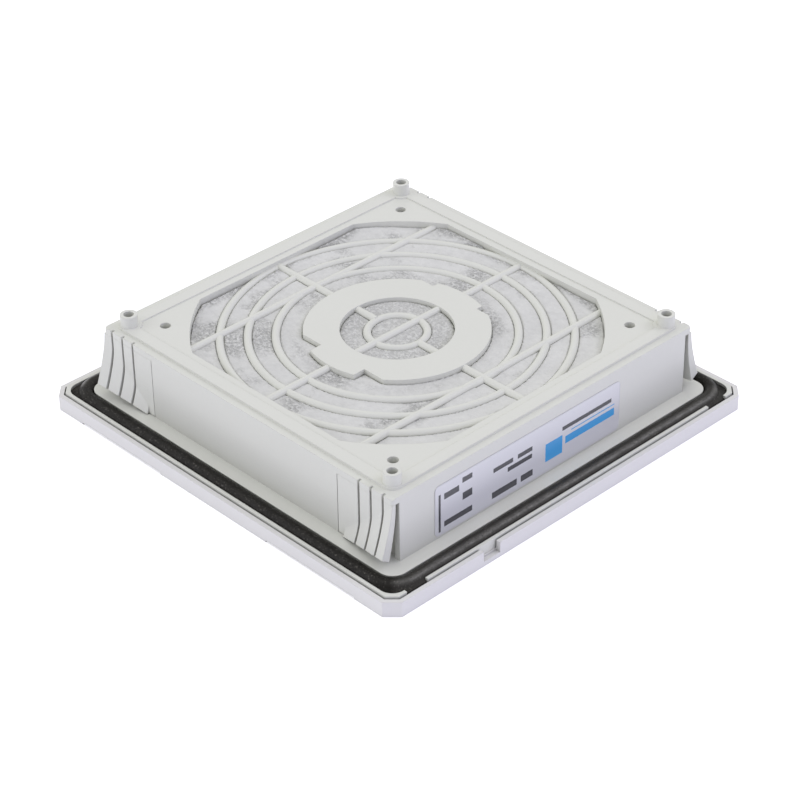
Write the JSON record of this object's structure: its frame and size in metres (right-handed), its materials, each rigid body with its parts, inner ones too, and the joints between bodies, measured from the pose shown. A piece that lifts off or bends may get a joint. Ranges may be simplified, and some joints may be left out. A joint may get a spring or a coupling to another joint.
{
  "type": "exhaust filter grille",
  "caption": "Square snap-in exhaust filter grille for an enclosure wall: louvred cover, mat, ring guard, foamed seal and spring leaves that grip the panel cut-out.",
  "frame": {"origin": "middle of the cover's front face, which the grille lies on", "axes": "+Z from the front face to the back plate, into the enclosure; in use the wall is upright with -Y up and +X to the right as seen from the front"},
  "size_m": [0.109, 0.109, 0.0238],
  "materials": {
    "cover_plastic": "fine satin moulded plastic, light grey",
    "housing_plastic": "fine satin moulded plastic, warm light grey",
    "seal_foam": "closed-skin foam bead, slight sheen",
    "mat_fleece": "white non-woven fleece",
    "label_film": "white printed film, satin"
  },
  "bodies": {
    "housing": {"rear_housing": "housing_plastic", "seal": "seal_foam", "type_label": "label_film"},
    "cover": {"front_cover": "cover_plastic"},
    "mat": {"filter_mat": "mat_fleece"},
    "leaf_top_right_1": {"leaf_top_right_1": "housing_plastic"},
    "leaf_top_right_2": {"leaf_top_right_2": "housing_plastic"},
    "leaf_top_right_3": {"leaf_top_right_3": "housing_plastic"},
    "leaf_top_right_4": {"leaf_top_right_4": "housing_plastic"},
    "leaf_top_left_1": {"leaf_top_left_1": "housing_plastic"},
    "leaf_top_left_2": {"leaf_top_left_2": "housing_plastic"},
    "leaf_top_left_3": {"leaf_top_left_3": "housing_plastic"},
    "leaf_top_left_4": {"leaf_top_left_4": "housing_plastic"},
    "leaf_bottom_right_1": {"leaf_bottom_right_1": "housing_plastic"},
    "leaf_bottom_right_2": {"leaf_bottom_right_2": "housing_plastic"},
    "leaf_bottom_right_3": {"leaf_bottom_right_3": "housing_plastic"},
    "leaf_bottom_right_4": {"leaf_bottom_right_4": "housing_plastic"},
    "leaf_bottom_left_1": {"leaf_bottom_left_1": "housing_plastic"},
    "leaf_bottom_left_2": {"leaf_bottom_left_2": "housing_plastic"},
    "leaf_bottom_left_3": {"leaf_bottom_left_3": "housing_plastic"},
    "leaf_bottom_left_4": {"leaf_bottom_left_4": "housing_plastic"}
  },
  "joints": [
    {"name": "cover_pull", "type": "slide", "parent": "housing", "child": "cover", "axis": [0, 0, -1], "range_m": [0, 0.05]},
    {"name": "mat_draw", "type": "slide", "parent": "housing", "child": "mat", "axis": [0, 0, -1], "range_m": [0, 0.025]},
    {"name": "leaf_top_right_1_bend", "type": "hinge", "parent": "housing", "child": "leaf_top_right_1", "pos_m": [0, -0.0443, 0.019], "axis": [1, 0, 0], "range_deg": [0, 11], "stiffness_Nm_per_rad": 0.45},
    {"name": "leaf_top_right_2_bend", "type": "hinge", "parent": "housing", "child": "leaf_top_right_2", "pos_m": [0, -0.0443, 0.019], "axis": [1, 0, 0], "range_deg": [0, 9], "stiffness_Nm_per_rad": 0.45},
    {"name": "leaf_top_right_3_bend", "type": "hinge", "parent": "housing", "child": "leaf_top_right_3", "pos_m": [0, -0.0443, 0.019], "axis": [1, 0, 0], "range_deg": [0, 6], "stiffness_Nm_per_rad": 0.45},
    {"name": "leaf_top_right_4_bend", "type": "hinge", "parent": "housing", "child": "leaf_top_right_4", "pos_m": [0, -0.0443, 0.019], "axis": [1, 0, 0], "range_deg": [0, 3.5], "stiffness_Nm_per_rad": 0.45},
    {"name": "leaf_top_left_1_bend", "type": "hinge", "parent": "housing", "child": "leaf_top_left_1", "pos_m": [0, -0.0443, 0.019], "axis": [1, 0, 0], "range_deg": [0, 11], "stiffness_Nm_per_rad": 0.45},
    {"name": "leaf_top_left_2_bend", "type": "hinge", "parent": "housing", "child": "leaf_top_left_2", "pos_m": [0, -0.0443, 0.019], "axis": [1, 0, 0], "range_deg": [0, 9], "stiffness_Nm_per_rad": 0.45},
    {"name": "leaf_top_left_3_bend", "type": "hinge", "parent": "housing", "child": "leaf_top_left_3", "pos_m": [0, -0.0443, 0.019], "axis": [1, 0, 0], "range_deg": [0, 6], "stiffness_Nm_per_rad": 0.45},
    {"name": "leaf_top_left_4_bend", "type": "hinge", "parent": "housing", "child": "leaf_top_left_4", "pos_m": [0, -0.0443, 0.019], "axis": [1, 0, 0], "range_deg": [0, 3.5], "stiffness_Nm_per_rad": 0.45},
    {"name": "leaf_bottom_right_1_bend", "type": "hinge", "parent": "housing", "child": "leaf_bottom_right_1", "pos_m": [0, 0.0443, 0.019], "axis": [-1, 0, 0], "range_deg": [0, 11], "stiffness_Nm_per_rad": 0.45},
    {"name": "leaf_bottom_right_2_bend", "type": "hinge", "parent": "housing", "child": "leaf_bottom_right_2", "pos_m": [0, 0.0443, 0.019], "axis": [-1, 0, 0], "range_deg": [0, 9], "stiffness_Nm_per_rad": 0.45},
    {"name": "leaf_bottom_right_3_bend", "type": "hinge", "parent": "housing", "child": "leaf_bottom_right_3", "pos_m": [0, 0.0443, 0.019], "axis": [-1, 0, 0], "range_deg": [0, 6], "stiffness_Nm_per_rad": 0.45},
    {"name": "leaf_bottom_right_4_bend", "type": "hinge", "parent": "housing", "child": "leaf_bottom_right_4", "pos_m": [0, 0.0443, 0.019], "axis": [-1, 0, 0], "range_deg": [0, 3.5], "stiffness_Nm_per_rad": 0.45},
    {"name": "leaf_bottom_left_1_bend", "type": "hinge", "parent": "housing", "child": "leaf_bottom_left_1", "pos_m": [0, 0.0443, 0.019], "axis": [-1, 0, 0], "range_deg": [0, 11], "stiffness_Nm_per_rad": 0.45},
    {"name": "leaf_bottom_left_2_bend", "type": "hinge", "parent": "housing", "child": "leaf_bottom_left_2", "pos_m": [0, 0.0443, 0.019], "axis": [-1, 0, 0], "range_deg": [0, 9], "stiffness_Nm_per_rad": 0.45},
    {"name": "leaf_bottom_left_3_bend", "type": "hinge", "parent": "housing", "child": "leaf_bottom_left_3", "pos_m": [0, 0.0443, 0.019], "axis": [-1, 0, 0], "range_deg": [0, 6], "stiffness_Nm_per_rad": 0.45},
    {"name": "leaf_bottom_left_4_bend", "type": "hinge", "parent": "housing", "child": "leaf_bottom_left_4", "pos_m": [0, 0.0443, 0.019], "axis": [-1, 0, 0], "range_deg": [0, 3.5], "stiffness_Nm_per_rad": 0.45}
  ],
  "couplings": [
    {"joint": "mat_draw", "follows": "cover_pull", "ratio": 0.5}
  ]
}
